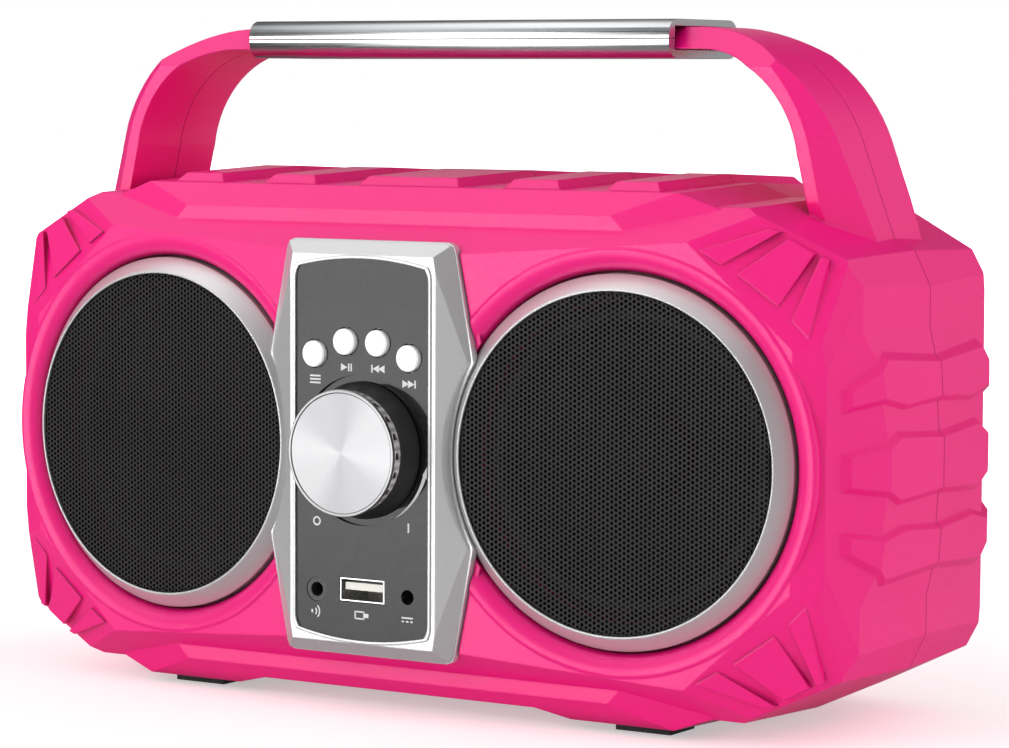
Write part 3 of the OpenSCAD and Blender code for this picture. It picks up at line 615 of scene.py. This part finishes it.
# Under the sockets: sound waves, a plug outline and the sign for direct current.
PORT_MARK_Z = -40.7
aux_x, usb_x, dc_x = [centre(n).x / MM for n in ("aux_jack", "usb_shell", "dc_jack")]
marks += [bar(aux_x - 1.3, PORT_MARK_Z, 0.5, 0.8)]
marks += [arc_strip(aux_x - 1.0, PORT_MARK_Z, r, 0.36, -48, 48, 10) for r in (1.0, 1.9)]
marks += [bar(usb_x - 0.6, PORT_MARK_Z + side * 0.85, 2.6, 0.36) for side in (-1, 1)]
marks += [bar(usb_x + shift, PORT_MARK_Z, 0.36, 2.06) for shift in (-1.9, 0.7)]
marks += [bar(usb_x + 1.5, PORT_MARK_Z, 1.1, 1.0)]
marks += [bar(dc_x, PORT_MARK_Z + 0.45, 3.3, 0.38)]
marks += [bar(dc_x + shift, PORT_MARK_Z - 0.45, 0.7, 0.38) for shift in (-1.25, 0, 1.25)]
prints("panel_marks", marks, INK)


def sweep():
    """Crescent that widens anticlockwise round the dish and ends in an arrow head."""
    # Angles in degrees, radii in mm
    tail, neck, tip, steps = -59, -16, -8.5, 24
    inner, widest, tip_r = 18.75, 0.95, 19.45
    outer_barb, inner_barb = (20.0, neck - 1.5), (18.55, neck + 0.2)
    turns = [tail + (neck - tail) * i / steps for i in range(steps + 1)]
    polar = [(inner + widest * ((t - tail) / (neck - tail)) ** 0.8, t) for t in turns]
    polar += [outer_barb, (tip_r, tip), inner_barb]
    polar += [(inner, t) for t in turns[::-1]]
    return [(r * math.cos(math.radians(t)), r * math.sin(math.radians(t))) for r, t in polar]


prints("panel_sweep", [sweep()], INK)
prints("display_window", [bar(0, 39, 37, 6.2)], SMOKE, 0.02 * MM)

GOLD = plated("gold_contact", (0.85, 0.60, 0.22), 0.25)
CONTACTS = 4
CONTACT_HALF = 0.5 * MM
CONTACT_LENGTH = 7.4 * MM
TONGUE_UNDERSIDE = AXIS_Z - 34.7 * MM


def usb_contacts():
    """Four flat contacts on the underside of the data socket's tongue."""
    low, high = (Vector(v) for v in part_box("usb_tongue"))
    tip = low.y + 0.6 * MM
    top, bottom = TONGUE_UNDERSIDE + 0.02 * MM, TONGUE_UNDERSIDE - 0.13 * MM
    sides = ((0, 1, 2, 3), (7, 6, 5, 4), (0, 4, 5, 1), (1, 5, 6, 2), (2, 6, 7, 3), (3, 7, 4, 0))
    verts, faces = [], []
    for k in range(CONTACTS):
        middle = low.x + (high.x - low.x) * (k + 0.9) / (CONTACTS + 0.8)
        left, right = middle - CONTACT_HALF, middle + CONTACT_HALF
        base = len(verts)
        for y in (tip, tip + CONTACT_LENGTH):
            verts += [(left, y, top), (right, y, top), (right, y, bottom), (left, y, bottom)]
        faces += [[base + i for i in side] for side in sides]
    repaint(piece("usb_contacts", verts, faces, "bright_steel", smooth=False), GOLD)


usb_contacts()


# ------------------------------------------------------------------ studio

FLOOR_HALF = 6.0
# Light from the room for mirror-like rays and for soft light.  Each panel lists its azimuth and
# elevation, the half widths of its bright part and of its glow, all in degrees, and its strength.
MIRROR_BASE = 0.06
MIRROR_PANELS = [
    (-25, -2, 6, 27, 5.0), (125, 5, 15, 60, 0.45), (-60, 52, 12, 40, 1.1), (-148, 4, 4, 22, 0.45),
    (0, 90, 10, 50, 0.7),
]
SOFT_BASE = 0.34
SOFT_PANELS = [(-46, 2, 15, 95, 1.12), (112, 5, 15, 85, 1.15)]
# The glow of the floor rises from the first strength to the second between these two distances.
GLOW_NEAR, GLOW_FAR = 0.44, 1.2
GLOW_FROM, GLOW_TO = 0.15, 0.9


def floor():
    """White table that glows more with distance, so that it meets the white background unseen.

    Mirror-like rays mostly pass through it, and it cannot be seen from below.
    """
    paint = Paint("studio_floor", (0.78, 0.78, 0.785), 0.55, specular=0.2)
    paint.colour(paint.mix(paint.noise(0.5, 2), (0.77, 0.77, 0.775), (0.79, 0.79, 0.795)))
    apart = paint.node("ShaderNodeVectorMath", operation="LENGTH")
    paint.link(paint.place, apart.inputs[0])
    distance = apart.outputs["Value"]
    paint.set("Emission Color", (1, 1, 1, 1))
    ray = paint.node("ShaderNodeLightPath")
    seen = paint.remap(ray.outputs["Is Camera Ray"], 0, 1, 0.5, 1)
    level = paint.remap(distance, GLOW_FROM, GLOW_TO, GLOW_NEAR, GLOW_FAR)
    glow = paint.math("MULTIPLY", level, seen)
    paint.link(glow, paint.bsdf.inputs["Emission Strength"])
    fading = paint.remap(distance, GLOW_FROM, 0.5, 0.7, 1)
    gone = paint.math("MULTIPLY", ray.outputs["Is Glossy Ray"], fading)
    below = paint.node("ShaderNodeNewGeometry").outputs["Backfacing"]
    gone = paint.math("MAXIMUM", gone, below)
    clear = paint.node("ShaderNodeBsdfTransparent")
    blend = paint.node("ShaderNodeMixShader")
    paint.link(gone, blend.inputs["Fac"])
    paint.link(paint.bsdf.outputs[0], blend.inputs[1])
    paint.link(clear.outputs[0], blend.inputs[2])
    paint.link(blend.outputs[0], paint.tree.nodes["Material Output"].inputs["Surface"])
    corners = [(x * FLOOR_HALF, y * FLOOR_HALF, 0) for x, y in ((-1, -1), (1, -1), (1, 1), (-1, 1))]
    mesh = bpy.data.meshes.new("studio_floor")
    mesh.from_pydata(corners, [], [(0, 1, 2, 3)])
    mesh.materials.append(paint.material)
    made = bpy.data.objects.new("studio_floor", mesh)
    bpy.context.scene.collection.objects.link(made)


def softbox(name, place, aim, width, height, power):
    """A rectangular lamp that mirror-like rays do not see."""
    light = bpy.data.lights.new(name, "AREA")
    light.shape = "RECTANGLE"
    light.size, light.size_y = width, height
    light.energy = power
    made = bpy.data.objects.new(name, light)
    made.location = place
    made.rotation_euler = (Vector(aim) - Vector(place)).to_track_quat("-Z", "Y").to_euler()
    made.visible_glossy = False
    bpy.context.scene.collection.objects.link(made)


def towards(azimuth, elevation):
    """Unit vector; azimuth 0 is the front, positive towards +X, both in degrees."""
    az, el = math.radians(azimuth), math.radians(elevation)
    return (math.sin(az) * math.cos(el), -math.cos(az) * math.cos(el), math.sin(el))


def surroundings():
    """White to the camera, with other glowing panels for soft light and for mirror-like rays."""
    world = bpy.data.worlds.new("studio")
    bpy.context.scene.world = world
    world.use_nodes = True
    tree = world.node_tree
    coords = tree.nodes.new("ShaderNodeTexCoord")

    def node(kind, **settings):
        made = tree.nodes.new(kind)
        for key, value in settings.items():
            setattr(made, key, value)
        return made

    def glow(azimuth, elevation, inner, outer, strength):
        dot = node("ShaderNodeVectorMath", operation="DOT_PRODUCT")
        tree.links.new(coords.outputs["Generated"], dot.inputs[0])
        dot.inputs[1].default_value = towards(azimuth, elevation)
        fade = node("ShaderNodeMapRange", interpolation_type="SMOOTHSTEP")
        tree.links.new(dot.outputs["Value"], fade.inputs["Value"])
        fade.inputs["From Min"].default_value = math.cos(math.radians(outer))
        fade.inputs["From Max"].default_value = math.cos(math.radians(inner))
        fade.inputs["To Max"].default_value = strength
        return fade.outputs["Result"]

    def add(a, b):
        total = node("ShaderNodeMath", operation="ADD")
        for slot, value in enumerate((a, b)):
            if isinstance(value, float):
                total.inputs[slot].default_value = value
            else:
                tree.links.new(value, total.inputs[slot])
        return total.outputs[0]

    def background(strength):
        made = node("ShaderNodeBackground")
        made.inputs["Color"].default_value = (1, 1, 1, 1)
        if isinstance(strength, float):
            made.inputs["Strength"].default_value = strength
        else:
            tree.links.new(strength, made.inputs["Strength"])
        return made.outputs[0]

    def choose(factor, a, b):
        made = node("ShaderNodeMixShader")
        tree.links.new(factor, made.inputs["Fac"])
        tree.links.new(a, made.inputs[1])
        tree.links.new(b, made.inputs[2])
        return made.outputs[0]

    panels = MIRROR_BASE
    for panel in MIRROR_PANELS:
        panels = add(glow(*panel), panels)
    soft = SOFT_BASE
    for panel in SOFT_PANELS:
        soft = add(glow(*panel), soft)
    ray = node("ShaderNodeLightPath")
    unseen = choose(ray.outputs["Is Glossy Ray"], background(soft), background(panels))
    final = choose(ray.outputs["Is Camera Ray"], unseen, background(1.0))
    tree.links.new(final, tree.nodes["World Output"].inputs["Surface"])


floor()
surroundings()
KEY_PLACE = (-0.7, -1.5, 0.7)
KEY_AIM = (0, 0, 0.08)
KEY_WIDTH, KEY_HEIGHT = 0.9, 0.7
KEY_WATTS = 5
softbox("key", KEY_PLACE, KEY_AIM, KEY_WIDTH, KEY_HEIGHT, KEY_WATTS)

CAMERA_PLACE = Vector((0.5016, -0.7837, 0.1560))
CAMERA_AIM = Vector((0.0053, 0.0, 0.0818))
CAMERA_ROLL = math.radians(0.25)
LENS_LENGTH = 129.4
lens = bpy.data.cameras.new("camera")
lens.sensor_width = 36
lens.lens = LENS_LENGTH
camera = bpy.data.objects.new("camera", lens)
camera.location = CAMERA_PLACE
turn = (CAMERA_AIM - CAMERA_PLACE).to_track_quat("-Z", "Y")
camera.rotation_euler = (turn.to_matrix() @ Euler((0, 0, CAMERA_ROLL)).to_matrix()).to_euler()
bpy.context.scene.collection.objects.link(camera)
bpy.context.scene.camera = camera
bpy.context.scene.view_settings.view_transform = "Standard"
